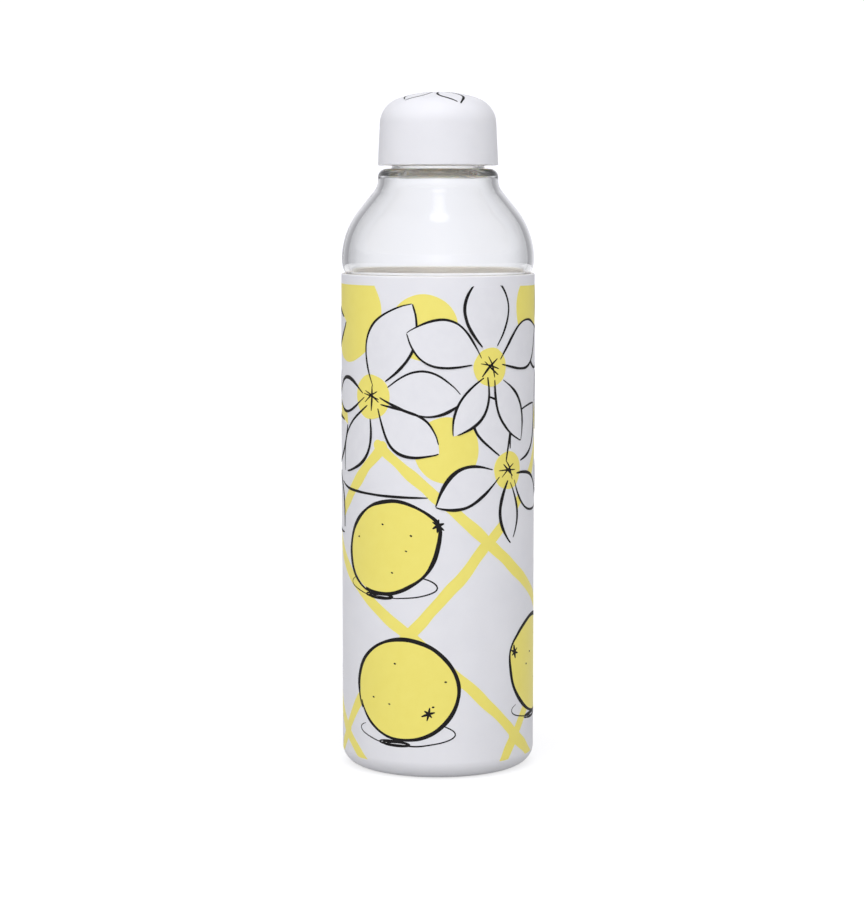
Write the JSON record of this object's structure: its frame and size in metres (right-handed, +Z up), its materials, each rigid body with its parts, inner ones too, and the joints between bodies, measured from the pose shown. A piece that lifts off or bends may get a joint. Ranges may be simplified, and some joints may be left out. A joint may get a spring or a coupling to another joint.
{
  "type": "water bottle",
  "caption": "Glass water bottle with a rounded shoulder, a printed silicone sleeve, and a domed screw cap with a threaded liner and a rim gasket.",
  "frame": {"origin": "centre of the foot, on the surface that the bottle stands on", "axes": "+Z up along the bottle's axis; +X to the right and -Y towards the viewer of the printed front"},
  "size_m": [0.068, 0.068, 0.2374],
  "materials": {
    "sleeve_silicone": "matte white silicone with a printed pattern",
    "clear_glass": "polished clear glass",
    "gasket_silicone": "translucent white silicone",
    "liner_plastic": "satin natural polypropylene",
    "cap_plastic": "soft-touch matte white"
  },
  "bodies": {
    "sleeve": {"silicone_sleeve": "sleeve_silicone"},
    "bottle": {"glass_bottle": "clear_glass"},
    "seal": {"rim_gasket": "gasket_silicone"},
    "cap": {"cap_liner": "liner_plastic", "cap_shell": "cap_plastic"}
  },
  "joints": [
    {"name": "bottle_lift_out", "type": "slide", "parent": "sleeve", "child": "bottle", "axis": [0, 0, 1], "range_m": [0, 0.18]},
    {"name": "cap_rise", "type": "slide", "parent": "bottle", "child": "seal", "axis": [0, 0, 1], "range_m": [0, 0.0165]},
    {"name": "cap_turn", "type": "hinge", "parent": "seal", "child": "cap", "pos_m": [0, 0, 0.212], "axis": [0, 0, 1], "range_deg": [0, 720]}
  ],
  "couplings": [
    {"joint": "cap_rise", "follows": "cap_turn", "m_per_rad": 0.0012732}
  ]
}
